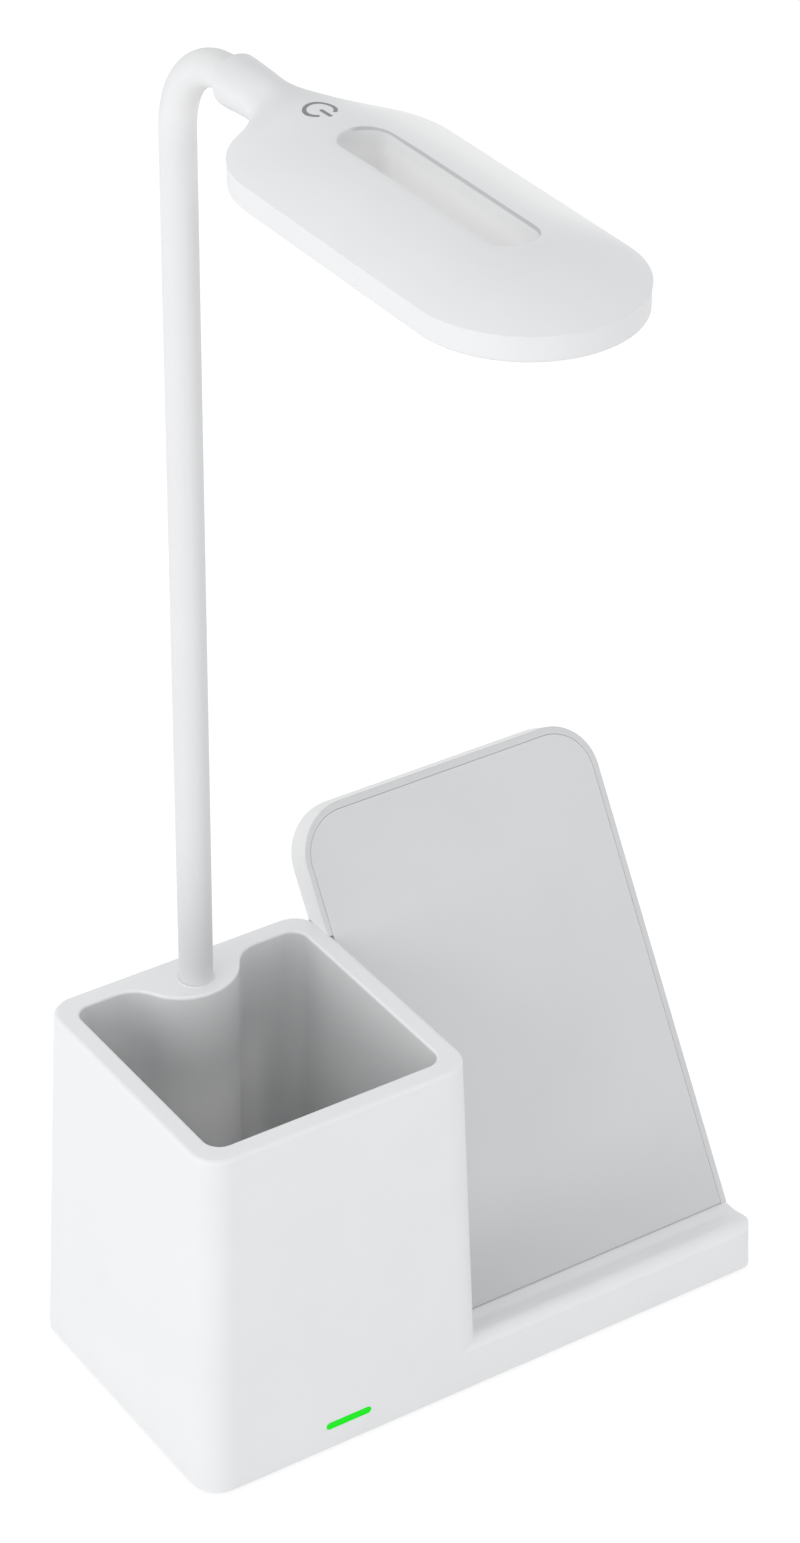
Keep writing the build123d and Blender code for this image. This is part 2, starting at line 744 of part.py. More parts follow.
def head_top_shell(form, mark):
    """Upper half of the head: dome, slot wall, neck and the posts inside."""
    inside = dome(head_radius - head_wall, dome_height - head_wall, head_rim)
    shell = form - inside
    inside += extrude(oval(head_radius - head_wall, head_bottom + fit_gap), diffuser_height - fit_gap)
    reach = diffuser_height + dome_height
    shell += extrude(slot_oval(slot_radius + slot_wall, head_bottom + fit_gap), reach) & inside
    board_top = head_rim - led_board_drop
    for x, y in head_posts():
        shell += (Pos(x, y, 0) * rod(head_post_radius, board_top, head_rim + reach)) & inside
        shell -= Pos(x, y, 0) * rod(cover_screw_shank, board_top - overrun, head_rim + head_wall)
    shell -= extrude(slot_oval(slot_radius, head_bottom - overrun), reach + 2 * overrun)
    mouth = [e for e in shell.edges() if e.bounding_box().min.Z > head_rim + head_wall and is_on_slot(e)]
    shell = fillet(mouth, slot_edge_round)
    bush_end = neck_mouth - sleeve_socket - neck_bush_length
    shell -= neck_rod(arm_radius + fit_gap, bush_end, neck_mouth + overrun)
    shell -= neck_rod(core_radius + fit_gap, bush_end - core_tail, neck_mouth)
    wire_height = head_rim + wire_channel_rise - neck_height
    shell -= Pos(0, 0, wire_height) * neck_rod(wire_channel_radius, neck_root, neck_mouth - sleeve_socket)
    return shell - mark


def diffuser():
    """Translucent tray under the head, with a hole for the slot's wall."""
    tray = extrude(oval(head_radius - diffuser_inset, head_bottom), diffuser_height)
    tray = fillet(tray.faces().sort_by(Axis.Z)[0].edges(), diffuser_edge_round)
    hollow = oval(head_radius - diffuser_inset - diffuser_wall, head_bottom + diffuser_floor)
    tray -= extrude(hollow, diffuser_height)
    hole = slot_oval(slot_radius + slot_wall + fit_gap, head_bottom - overrun)
    return tray - extrude(hole, diffuser_height)


def led_board():
    """Ring of board round the slot, hung on the shell's posts."""
    top = head_rim - led_board_drop
    ring = oval(head_radius - led_board_inset, top) - slot_oval(slot_radius + slot_wall + seat_gap, top)
    board = extrude(ring, -led_board_thickness)
    for x, y in head_posts():
        board -= Pos(x, y, 0) * rod(cover_screw_shank, top - led_board_thickness - overrun, top + overrun)
    return board


def led_places():
    """Plan places of the light sources, in a row round the board."""
    radius = (head_radius - led_board_inset + slot_radius + slot_wall) / 2
    places = []
    for index in range(leds_per_side):
        y = tip_centre + head_spacing * (index + 1) / (leds_per_side + 1)
        places += [(centre_x - radius, y, 90), (centre_x + radius, y, 90)]
    for index in range(leds_per_end):
        angle = 180 * (index + 1) / (leds_per_end + 1)
        across = radius * cos(radians(angle))
        along = radius * sin(radians(angle))
        places += [(centre_x + across, heel_centre + along, angle + 90)]
        places += [(centre_x + across, tip_centre - along, 90 - angle)]
    return places


def leds():
    low = head_rim - led_board_drop - led_board_thickness - led_height
    chip = Box(led_length, led_width, led_height, align=(Align.CENTER, Align.CENTER, Align.MIN))
    return Compound([Pos(x, y, low) * Rot(0, 0, turn) * chip for x, y, turn in led_places()])


def head_screws():
    low = head_rim - led_board_drop - led_board_thickness - cover_screw_head_height
    length = cover_screw_head_height + led_board_thickness + led_board_drop + head_wall - overrun
    screw = pan_screw(cover_screw_shank - fit_gap, head_post_radius, cover_screw_head_height, length)
    return Compound([Pos(x, y, low) * screw for x, y in head_posts()])


def neck_bush():
    """Metal bush that grips the arm's core inside the neck."""
    low = neck_mouth - sleeve_socket - neck_bush_length
    high = neck_mouth - sleeve_socket
    bore = neck_rod(core_radius + fit_gap / 2, low - overrun, high + overrun)
    return neck_rod(arm_radius, low, high) - bore


def touch_contact():
    """Sprung contact between the light board and the shell under the power mark."""
    low = head_rim - led_board_drop
    tube = rod(touch_contact_radius, low, head_rim + dome_height) - rod(
        touch_contact_radius - touch_contact_wall, low - overrun, head_rim + dome_height + overrun)
    room = dome(head_radius - head_wall, dome_height - head_wall - fit_gap, head_rim)
    room += extrude(oval(head_radius - head_wall, low), led_board_drop)
    return (Pos(centre_x, mark_setback, 0) * tube) & room


def all_nodes():
    """Every piece of the lamp by name."""
    form = head_form()
    mark = power_mark(form)
    nodes = {
        "main_housing": main_housing(),
        "bottom_cover": bottom_cover(),
        "cover_screws": cover_screws(),
        "ballast_plate": ballast_plate(),
        "main_board": main_board(),
        "inlet_shell": inlet_shell_can(),
        "inlet_tongue": inlet_contact_tongue(),
        "indicator_light_bar": indicator_prism(0, indicator_depth),
        "indicator_led": indicator_led(),
        "indicator_board": indicator_board(),
        "stand_shell": stand_shell(),
        "stand_screws": stand_screws(),
        "charging_pad": charging_pad(),
        "charging_coil": charging_coil(),
        "ferrite_sheet": ferrite_sheet(),
        "charger_board": charger_board(),
        "arm_ferrule": arm_ferrule(),
        "arm_lock_nut": arm_lock_nut(),
        "head_top_shell": head_top_shell(form, mark),
        "power_mark": mark,
        "diffuser": diffuser(),
        "led_board": led_board(),
        "leds": leds(),
        "head_screws": head_screws(),
        "neck_bush": neck_bush(),
        "touch_contact": touch_contact(),
    }
    for number, (x, y) in enumerate(foot_places(), start=1):
        nodes[f"rubber_foot_{number}"] = rubber_foot(x, y)
    nodes.update(arm_links())
    return nodes


def row_origin(nodes):
    """Middle of the lamp's box in plan, and the surface that it stands on."""
    boxes = [shape.bounding_box() for shape in nodes.values()]
    x = (min(box.min.X for box in boxes) + max(box.max.X for box in boxes)) / 2
    y = (min(box.min.Y for box in boxes) + max(box.max.Y for box in boxes)) / 2
    return x, y, -foot_stand


def main():
    os.makedirs("parts", exist_ok=True)
    nodes = all_nodes()
    x, y, z = row_origin(nodes)
    for name, shape in nodes.items():
        export_step(Pos(-x, -y, -z) * shape, f"parts/{name}.step")


if __name__ == "__main__":
    main()
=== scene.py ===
import json
import math

import bmesh
import bpy
from mathutils import Matrix, Vector


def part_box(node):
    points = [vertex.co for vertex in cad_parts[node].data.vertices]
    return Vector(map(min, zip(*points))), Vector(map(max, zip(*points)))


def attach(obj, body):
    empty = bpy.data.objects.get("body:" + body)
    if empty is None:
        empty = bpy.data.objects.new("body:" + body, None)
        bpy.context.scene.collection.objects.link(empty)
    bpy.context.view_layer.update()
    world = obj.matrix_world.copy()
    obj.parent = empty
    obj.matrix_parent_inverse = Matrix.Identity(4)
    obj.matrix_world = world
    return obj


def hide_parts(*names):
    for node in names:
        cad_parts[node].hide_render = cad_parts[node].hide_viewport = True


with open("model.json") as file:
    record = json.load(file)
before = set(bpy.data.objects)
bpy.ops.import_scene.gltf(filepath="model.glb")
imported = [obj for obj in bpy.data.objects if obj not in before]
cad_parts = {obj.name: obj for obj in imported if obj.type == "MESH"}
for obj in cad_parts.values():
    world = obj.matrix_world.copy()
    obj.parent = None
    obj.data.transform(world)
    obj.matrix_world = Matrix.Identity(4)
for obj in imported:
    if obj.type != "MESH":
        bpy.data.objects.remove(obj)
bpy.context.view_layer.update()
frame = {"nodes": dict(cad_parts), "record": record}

MM = 0.001

# The lamp's own frame is in millimetres from the sharp front left corner of its housing
CORNER = Vector(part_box("main_housing")[0])


def own_box(name):
    """Lowest and highest corners of a CAD node in the lamp's own frame."""
    return [(Vector(corner) - CORNER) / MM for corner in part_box(name)]


def place(x, y, z):
    """A point of the lamp's own frame, in millimetres, as a point of the row frame in metres."""
    return Vector((x, y, z)) * MM + CORNER


# Measures of the cup and the phone stand, in millimetres and degrees
CUP_DEPTH = 84.8
CUP_HEIGHT = 100.6
CUP_TAPER = 3.35
RIM_WIDTH = 5.4
DECK_HEIGHT = 12.1
STAND_ANGLE = 58.16
STAND_SEAT = 13.1

# Measures of the slot through the lamp head
SLOT_LENGTH = 64.3
SLOT_RADIUS = 6.15
SLOT_MARGIN = 26.8
TRAY_INSET = 0.15
HEAD_HEEL = own_box("diffuser")[1].y + TRAY_INSET
SLOT_CENTRE = HEAD_HEEL - SLOT_MARGIN - SLOT_LENGTH / 2
SLOT_REACH = SLOT_LENGTH / 2 - SLOT_RADIUS

# Measures of the arm, from the nodes that it is made of
BEND_RADIUS = 21.65
FERRULE_LOW, FERRULE_HIGH = own_box("arm_ferrule")
BUSH_LOW, BUSH_HIGH = own_box("neck_bush")
CENTRE_X = (BUSH_LOW.x + BUSH_HIGH.x) / 2
ARM_SETBACK = (FERRULE_LOW.y + FERRULE_HIGH.y) / 2
ARM_RADIUS = (BUSH_HIGH.x - BUSH_LOW.x) / 2
ARM_FOOT = FERRULE_HIGH.z
NECK_HEIGHT = (BUSH_LOW.z + BUSH_HIGH.z) / 2
BEND_FOOT = NECK_HEIGHT - BEND_RADIUS
STRAIGHT_RUN = BEND_FOOT - ARM_FOOT
BEND_RUN = BEND_RADIUS * math.pi / 2
ARM_END = STRAIGHT_RUN + BEND_RUN + ARM_SETBACK - BEND_RADIUS - BUSH_HIGH.y

# Camera of the photograph: its turn in degrees, its place in the lamp's own frame, its focal length
# and the picture's height in pixels, and what it sees between, in metres
CAMERA_TURN = (-33.639, 33.189, 0.504)
CAMERA_PLACE = (-417.699, -711.026, 755.434)
FOCAL_PIXELS = 4441.376
PICTURE_HEIGHT = 1543.0
SENSOR_HEIGHT = 36.0
CLIP_START = 0.01
CLIP_END = 20.0


def make_camera():
    azimuth, elevation, roll = (math.radians(angle) for angle in CAMERA_TURN)
    back = Vector((math.sin(azimuth) * math.cos(elevation), -math.cos(azimuth) * math.cos(elevation),
                   math.sin(elevation)))
    right = Vector((math.cos(azimuth), math.sin(azimuth), 0))
    up = back.cross(right)
    right_rolled = right * math.cos(roll) + up * math.sin(roll)
    up_rolled = up * math.cos(roll) - right * math.sin(roll)
    data = bpy.data.cameras.new("photo_camera")
    data.sensor_fit = "VERTICAL"
    data.sensor_height = SENSOR_HEIGHT
    data.lens = FOCAL_PIXELS * SENSOR_HEIGHT / PICTURE_HEIGHT
    data.clip_start = CLIP_START
    data.clip_end = CLIP_END
    camera = bpy.data.objects.new("photo_camera", data)
    turn = Matrix((right_rolled, up_rolled, back)).transposed().to_4x4()
    camera.matrix_world = Matrix.Translation(place(*CAMERA_PLACE)) @ turn
    bpy.context.scene.collection.objects.link(camera)
    bpy.context.scene.camera = camera


# Node helpers
def node(tree, kind, **values):
    made = tree.nodes.new(kind)
    for key, value in values.items():
        setattr(made, key, value)
    return made


def feed(tree, entry, value):
    """Links a socket to a node's input, or sets the input to a plain value."""
    if isinstance(value, bpy.types.NodeSocket):
        tree.links.new(value, entry)
    else:
        entry.default_value = value


def solve(tree, operation, *values, clamp=False):
    """Result of a maths node over sockets and plain numbers."""
    made = node(tree, "ShaderNodeMath", operation=operation, use_clamp=clamp)
    for entry, value in zip(made.inputs, values):
        feed(tree, entry, value)
    return made.outputs[0]


def sum_of(tree, terms, constant=0.0):
    """Weighted sum of sockets: terms is a list of (socket, weight)."""
    total = constant
    for socket, weight in terms:
        total = solve(tree, "MULTIPLY_ADD", socket, weight, total)
    return total


def product_of(tree, sockets):
    total = sockets[0]
    for socket in sockets[1:]:
        total = solve(tree, "MULTIPLY", total, socket)
    return total


def length_of(tree, first, second):
    """Length of a line from its reach in two directions square to each other."""
    pair = node(tree, "ShaderNodeCombineXYZ")
    feed(tree, pair.inputs[0], first)
    feed(tree, pair.inputs[1], second)
    length = node(tree, "ShaderNodeVectorMath", operation="LENGTH")
    tree.links.new(pair.outputs[0], length.inputs[0])
    return length.outputs["Value"]


def own_axes(tree):
    """Separate x, y and z of the shaded point in the lamp's own frame, made once in each material."""
    if "own_axes" in tree.nodes:
        return tree.nodes["own_axes"].outputs
    where = node(tree, "ShaderNodeTexCoord")
    moved = node(tree, "ShaderNodeVectorMath", operation="SUBTRACT")
    moved.inputs[1].default_value = CORNER
    scaled = node(tree, "ShaderNodeVectorMath", operation="SCALE")
    scaled.inputs["Scale"].default_value = 1.0 / MM
    split = node(tree, "ShaderNodeSeparateXYZ", name="own_axes")
    tree.links.new(where.outputs["Object"], moved.inputs[0])
    tree.links.new(moved.outputs[0], scaled.inputs[0])
    tree.links.new(scaled.outputs[0], split.inputs[0])
    return split.outputs


# Measures of the shaded point that the painted light and shade use, in millimetres
STANDWARD = (0.833, -0.554)


def own_x(tree):
    return own_axes(tree)[0]


def own_y(tree):
    return own_axes(tree)[1]


def own_z(tree):
    return own_axes(tree)[2]


def past_slot_end(tree):
    """Distance beyond the straight part of the slot, at either end."""
    beyond = solve(tree, "ABSOLUTE", solve(tree, "SUBTRACT", own_y(tree), SLOT_CENTRE))
    return solve(tree, "MAXIMUM", solve(tree, "SUBTRACT", beyond, SLOT_REACH), 0.0)


def from_slot(tree):
    """Distance from the slot's middle line."""
    return length_of(tree, solve(tree, "SUBTRACT", own_x(tree), CENTRE_X), past_slot_end(tree))


def beside_arm(tree):
    """Distance from the upright arm's middle, towards the stand and the front."""
    across, along = STANDWARD
    middle = -across * CENTRE_X - along * ARM_SETBACK
    return sum_of(tree, [(own_x(tree), across), (own_y(tree), along)], middle)


def from_bend_centre(tree):
    """Distance from the centre of the arm's bend."""
    return length_of(tree, solve(tree, "SUBTRACT", own_y(tree), ARM_SETBACK - BEND_RADIUS),
                     solve(tree, "SUBTRACT", own_z(tree), BEND_FOOT))


def before_frame(tree):
    """Distance in front of the narrow frame round the phone stand's pad."""
    lean = math.radians(STAND_ANGLE)
    seat = STAND_SEAT * math.sin(lean) - DECK_HEIGHT * math.cos(lean)
    return sum_of(tree, [(own_y(tree), -math.sin(lean)), (own_z(tree), math.cos(lean))], seat)


# Spans that bound the painted light and shade: a measure, its lowest and highest value, the soft
# edge outside them and, where it isn't 0, what is left beyond that edge. None leaves an end open.
INNER_WALL = RIM_WIDTH + CUP_TAPER - 0.4
IN_CUP = [
    (own_x, INNER_WALL, 2 * CENTRE_X - INNER_WALL, 0.1),
    (own_y, INNER_WALL, CUP_DEPTH - INNER_WALL, 0.1),
    (own_z, DECK_HEIGHT - 1.0, CUP_HEIGHT - 1.2, 0.7),
]
IN_SLOT = [(from_slot, None, SLOT_RADIUS + 0.1, 0.2)]

# Painted light and shade of each material, in the order they are laid on: spans, colour and the colour's
# share
HOUSING_PAINTED_LIGHT_AND_SHADE = (
    # Painted shade on the inner walls and floor of the pen cup, below its rim
    (IN_CUP, (0.69, 0.695, 0.70), 1.0),
    # Painted light on the lower inside of the cup, over its painted shade, fainter on the wall by the
    # stand
    (IN_CUP + [(own_x, None, 60.0, 8.0, 0.25), (own_z, None, 62.0, 18.0)], (0.88, 0.88, 0.885), 1.0),
)
STAND_PAINTED_LIGHT = (
    # Painted light on the sides and back of the stand, behind the narrow frame round its pad
    ([(before_frame, None, -0.5, 0.2)], (0.81, 0.815, 0.82), 1.0),
)
PAD_PAINTED_SHADE = (
    # Painted shade at the foot of the pad, stronger towards the pen cup
    ([(own_z, None, 14.0, 28.0), (own_x, None, 95.0, 160.0)], (0.565, 0.573, 0.585), 1.0),
)
HEAD_PAINTED_LIGHT_AND_SHADE = (
    # Painted light on the side of the dome away from the camera
    ([(own_x, CENTRE_X + 20.0, None, 18.0), (own_y, -45.0, None, 25.0)], (0.93, 0.935, 0.94), 1.0),
    # Painted shade on the top of the neck
    ([(own_y, 24.0, None, 12.0), (own_z, NECK_HEIGHT + 4.0, None, 4.0)], (0.72, 0.73, 0.74), 1.0),
    # Painted light on the wall of the slot
    (IN_SLOT, (0.985, 0.985, 0.99), 1.0),
    # Painted shade on the upper part of the slot's wall
    (IN_SLOT + [(own_z, 361.0, None, 6.0)], (0.77, 0.775, 0.78), 1.0),
    # Painted shade on the round ends of the slot
    (IN_SLOT + [(past_slot_end, 4.0, None, 4.0)], (0.55, 0.555, 0.56), 0.30),
    # Painted shade: a thin dark line along the top of the slot's far wall
    (IN_SLOT + [(own_x, CENTRE_X + 2.0, None, 3.0), (own_z, 360.9, None, 0.5)], (0.45, 0.455, 0.46), 0.8),
)
SLEEVE_PAINTED_LIGHT_AND_SHADE = (
    # Painted shade on the side of the upright arm towards the stand and the front
    ([(beside_arm, 4.5, None, 3.5), (own_z, None, 310.0, 15.0)], (0.73, 0.735, 0.745), 1.0),
    # Painted shade at the foot of the arm, just above the pen cup
    ([(own_z, None, ARM_FOOT, 45.0)], (0.67, 0.675, 0.68), 1.0),
    # Painted light on the hollow side of the arm's bend
    ([(from_bend_centre, None, BEND_RADIUS - 7.0, 8.0), (own_z, BEND_FOOT + 8.0, None, 12.0)],
     (0.92, 0.92, 0.925), 1.0),
    # Painted shade on the outer side of the arm's bend
    ([(from_bend_centre, BEND_RADIUS + 3.0, None, 4.0), (own_z, BEND_FOOT + 10.0, None, 10.0)],
     (0.74, 0.745, 0.75), 1.0),
)


def span(tree, value, low, high, soft, left=0.0):
    """1 where a value lies between low and high, falling over a soft edge to what is left beyond it."""
    slopes = []
    for limit, reach in ((low, -soft), (high, soft)):
        if limit is not None:
            ramp = node(tree, "ShaderNodeMapRange", interpolation_type="SMOOTHSTEP")
            ramp.inputs["From Min"].default_value = limit + reach
            ramp.inputs["From Max"].default_value = limit
            tree.links.new(value, ramp.inputs["Value"])
            slopes.append(ramp.outputs["Result"])
    share = product_of(tree, slopes)
    return sum_of(tree, [(share, 1 - left)], left) if left else share


# Sockets of a mix node that its data type leaves in use when it mixes colours
MIX_FROM, MIX_TO, MIX_RESULT = 6, 7, 2


def lay_painted_tones(tree, colour, painted_tones):
    """Lays each tone of painted light and shade over the surface, within its spans."""
    for spans, tone, share in painted_tones:
        mask = product_of(tree, [span(tree, measure(tree), *limits) for measure, *limits in spans])
        tint = node(tree, "ShaderNodeMix", data_type="RGBA")
        feed(tree, tint.inputs["Factor"], solve(tree, "MULTIPLY", mask, share))
        feed(tree, tint.inputs[MIX_FROM], colour)
        feed(tree, tint.inputs[MIX_TO], (*tone, 1))
        colour = tint.outputs[MIX_RESULT]
    return colour


# Surface of a moulded piece: broad mottling, with its scale in waves to the metre, and fine grain in mm
MOTTLE_SCALE = 45.0
MOTTLE_DETAIL = 3.0
MOTTLE_RANGE = (0.3, 0.7)
MOTTLE_SHARE = 0.01
ROUGHNESS_SPREAD = 0.05
GRAIN_SIZE = 0.35
GRAIN_DETAIL = 2.0
GRAIN_HEIGHT = 0.02
GRAIN_STRENGTH = 0.25


def noise(tree, scale, detail):
    """Value of a noise texture that stays with the piece."""
    where = node(tree, "ShaderNodeTexCoord")
    made = node(tree, "ShaderNodeTexNoise")
    made.inputs["Scale"].default_value = scale
    made.inputs["Detail"].default_value = detail
    tree.links.new(where.outputs["Object"], made.inputs["Vector"])
    return made.outputs["Fac"]


def moulded(name, colour, roughness=0.42, metallic=0.0, specular=0.4, glow=0.0, painted_tones=()):
    """Moulded plastic, paint or metal: faint mottling in colour and roughness, a fine grain, and any
    painted light and shade laid over the colour.
    """
    material = bpy.data.materials.new(name)
    material.use_nodes = True
    tree = material.node_tree
    shader = tree.nodes["Principled BSDF"]
    shader.inputs["Specular IOR Level"].default_value = specular
    shader.inputs["Metallic"].default_value = metallic
    if glow:
        shader.inputs["Emission Color"].default_value = (*colour, 1)
        shader.inputs["Emission Strength"].default_value = glow
    mottle = noise(tree, MOTTLE_SCALE, MOTTLE_DETAIL)
    ramp = node(tree, "ShaderNodeValToRGB")
    low = [max(c * (1 - MOTTLE_SHARE), 0) for c in colour]
    high = [min(c * (1 + MOTTLE_SHARE), 1) for c in colour]
    for element, position, tone in zip(ramp.color_ramp.elements, MOTTLE_RANGE, (low, high)):
        element.position = position
        element.color = (*tone, 1)
    tree.links.new(mottle, ramp.inputs["Fac"])
    tree.links.new(lay_painted_tones(tree, ramp.outputs["Color"], painted_tones), shader.inputs["Base Color"])
    spread = node(tree, "ShaderNodeMapRange")
    spread.inputs["To Min"].default_value = roughness - ROUGHNESS_SPREAD
    spread.inputs["To Max"].default_value = roughness + ROUGHNESS_SPREAD
    tree.links.new(mottle, spread.inputs["Value"])
    tree.links.new(spread.outputs["Result"], shader.inputs["Roughness"])
    bump = node(tree, "ShaderNodeBump")
    bump.inputs["Strength"].default_value = GRAIN_STRENGTH
    bump.inputs["Distance"].default_value = GRAIN_HEIGHT * MM
    tree.links.new(noise(tree, 1.0 / (GRAIN_SIZE * MM), GRAIN_DETAIL), bump.inputs["Height"])
    tree.links.new(bump.outputs["Normal"], shader.inputs["Normal"])
    return material


# Material of each slot; the housing, stand, pad, head and sleeve have painted light and shade laid over
# their colour
LOOKS = {
    "white_housing": moulded("housing_plastic", (0.855, 0.865, 0.875), painted_tones=HOUSING_PAINTED_LIGHT_AND_SHADE),
    "white_stand": moulded("stand_plastic", (0.66, 0.67, 0.685), painted_tones=STAND_PAINTED_LIGHT),
    "white_pad": moulded("pad_surface", (0.695, 0.705, 0.72), roughness=0.55, painted_tones=PAD_PAINTED_SHADE),
    "white_head": moulded("head_plastic", (0.785, 0.795, 0.805), painted_tones=HEAD_PAINTED_LIGHT_AND_SHADE),
    "white_sleeve": moulded("sleeve_silicone", (0.80, 0.805, 0.815), roughness=0.55, painted_tones=SLEEVE_PAINTED_LIGHT_AND_SHADE),
    "white_ring": moulded("ring_paint", (0.77, 0.775, 0.785)),
    "frosted_white": moulded("frosted_diffuser", (0.805, 0.81, 0.82), roughness=0.5),
    "grey_mark": moulded("mark_ink", (0.22, 0.225, 0.23)),
    "green_light": moulded("indicator_lens", (0.006, 0.62, 0.008), roughness=0.3, specular=0.1,
                           glow=0.45),
    "steel": moulded("plain_steel", (0.55, 0.55, 0.56), metallic=1.0, roughness=0.35),
    "zinc_steel": moulded("zinc_steel", (0.6, 0.6, 0.58), metallic=1.0, roughness=0.4),
    "brass": moulded("machined_brass", (0.7, 0.5, 0.2), metallic=1.0, roughness=0.3),
    "copper": moulded("copper_wire", (0.65, 0.3, 0.15), metallic=1.0, roughness=0.35),
    "ferrite": moulded("ferrite_grey", (0.03, 0.03, 0.035), roughness=0.6),
    "circuit_board": moulded("solder_mask", (0.02, 0.12, 0.05), roughness=0.3),
    "led_phosphor": moulded("led_phosphor", (0.85, 0.7, 0.2), roughness=0.4),
    "black_plastic": moulded("black_plastic", (0.02, 0.02, 0.02), roughness=0.45),
    "grey_rubber": moulded("foot_rubber", (0.3, 0.3, 0.31), roughness=0.7),
}


def dress_nodes():
    """Gives each CAD node the material of its slot."""
    slots = {part["node"]: part["material_slot"] for part in frame["record"]["subparts"]}
    for name, piece in frame["nodes"].items():
        piece.data.materials.clear()
        piece.data.materials.append(LOOKS[slots[name]])


# Points closer than this, in metres, are one point
WELD = 1.5e-7
SMOOTH_ANGLE = 35.0


def mesh_piece(name, points, faces, slot):
    """A mesh object from points in the lamp's own frame, smooth but for its sharp edges."""
    mesh = bpy.data.meshes.new(name)
    mesh.from_pydata([place(*p) for p in points], [], faces)
    mesh.validate()
    made = bmesh.new()
    made.from_mesh(mesh)
    bmesh.ops.remove_doubles(made, verts=made.verts, dist=WELD)
    bmesh.ops.dissolve_degenerate(made, edges=made.edges, dist=WELD)
    bmesh.ops.recalc_face_normals(made, faces=made.faces)
    made.to_mesh(mesh)
    made.free()
    mesh.polygons.foreach_set("use_smooth", [True] * len(mesh.polygons))
    mesh.set_sharp_from_angle(angle=math.radians(SMOOTH_ANGLE))
    piece = bpy.data.objects.new(name, mesh)
    piece.data.materials.append(LOOKS[slot])
    bpy.context.scene.collection.objects.link(piece)
    return piece


def strip(points, faces, first, second, closed=False):
    """Adds two rows of points and the faces between them."""
    start = len(points)
    points += list(first) + list(second)
    count = len(first)
    for step in range(count if closed else count - 1):
        after = (step + 1) % count
        faces.append((start + step, start + after, start + count + after, start + count + step))


# Arm sleeve: a length for each body, which turns in the next like a ball joint, so that no gap opens
JOINT_SHARES = (0.10, 0.36, 0.61, 0.86)
JOINT_ANGLES = (15.0, 45.0, 75.0)
JOINT_RUNS = [share * STRAIGHT_RUN for share in JOINT_SHARES]
JOINT_RUNS += [STRAIGHT_RUN + BEND_RADIUS * math.radians(angle) for angle in JOINT_ANGLES]
BODY_ORDER = ["base"] + [f"arm_{i}" for i in range(1, 7)] + ["head"]
SLEEVE_SIDES = 64
BALL_RINGS = 12
BALL_GAP_LOW = 0.01
BALL_GAP_HIGH = 0.06
STRAIGHT_SPACING = 3.0
BEND_SPACING = 0.8
NECK_SPACING = 2.0


def arm_frame(run):
    """Centre of the arm and the directions square to it and along it, in the plane of its bend."""
    if run <= STRAIGHT_RUN:
        return Vector((CENTRE_X, ARM_SETBACK, ARM_FOOT + run)), Vector((0, 1, 0)), Vector((0, 0, 1))
    turn = min((run - STRAIGHT_RUN) / BEND_RADIUS, math.pi / 2)
    past = max(run - STRAIGHT_RUN - BEND_RUN, 0)
    out = Vector((0, math.cos(turn), math.sin(turn)))
    along = Vector((0, -math.sin(turn), math.cos(turn)))
    hinge = Vector((CENTRE_X, ARM_SETBACK - BEND_RADIUS, BEND_FOOT))
    return hinge + out * BEND_RADIUS + Vector((0, -past, 0)), out, along


def sleeve_stations(start, end):
    """Distances along the arm at which the sleeve has a ring: close together in the bend."""
    bend_end = STRAIGHT_RUN + BEND_RUN
    parts = ((0.0, STRAIGHT_RUN, STRAIGHT_SPACING), (STRAIGHT_RUN, bend_end, BEND_SPACING),
             (bend_end, ARM_END, NECK_SPACING))
    stations = [start]
    for low, high, spacing in parts:
        low, high = max(low, start), min(high, end)
        steps = max(2, int((high - low) / spacing))
        if high > low:
            stations += [low + (high - low) * step / steps for step in range(1, steps + 1)]
    return stations


def ball_rings(run, radius, side):
    """Rings of the half ball that closes a length of sleeve at a joint, from its wall to its pole."""
    centre, out, along = arm_frame(run)
    rings = []
    for step in range(BALL_RINGS):
        turn = math.pi / 2 * step / BALL_RINGS
        rings.append((centre + along * (side * radius * math.sin(turn)), out, radius * math.cos(turn)))
    return rings


def sleeve_piece(name, start, end):
    """Closed length of the round sleeve, with a half ball at each end that is a joint."""
    rings = []
    if start > 0:
        rings += reversed(ball_rings(start, ARM_RADIUS - BALL_GAP_LOW, -1))
    rings += [(*arm_frame(run)[:2], ARM_RADIUS) for run in sleeve_stations(start, end)]
    if end < ARM_END:
        rings += ball_rings(end, ARM_RADIUS - BALL_GAP_HIGH, 1)
    points, faces = [], []
    for centre, out, radius in rings:
        for i in range(SLEEVE_SIDES):
            angle = 2 * math.pi * i / SLEEVE_SIDES
            aside = Vector((radius * math.sin(angle), 0, 0))
            points.append(centre + out * (radius * math.cos(angle)) + aside)
    for first in range(0, (len(rings) - 1) * SLEEVE_SIDES, SLEEVE_SIDES):
        for i in range(SLEEVE_SIDES):
            j = (i + 1) % SLEEVE_SIDES
            faces.append((first + i, first + j, first + SLEEVE_SIDES + j, first + SLEEVE_SIDES + i))
    faces.append(tuple(range(SLEEVE_SIDES)))
    faces.append(tuple(range(len(points) - SLEEVE_SIDES, len(points))))
    return mesh_piece(name, points, faces, "white_sleeve")


def make_sleeve():
    cuts = [0.0] + JOINT_RUNS + [ARM_END]
    for index, body in enumerate(BODY_ORDER):
        piece = sleeve_piece(f"sleeve_length_{index}", cuts[index], cuts[index + 1])
        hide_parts(f"arm_sleeve_{index}")
        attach(piece, body)


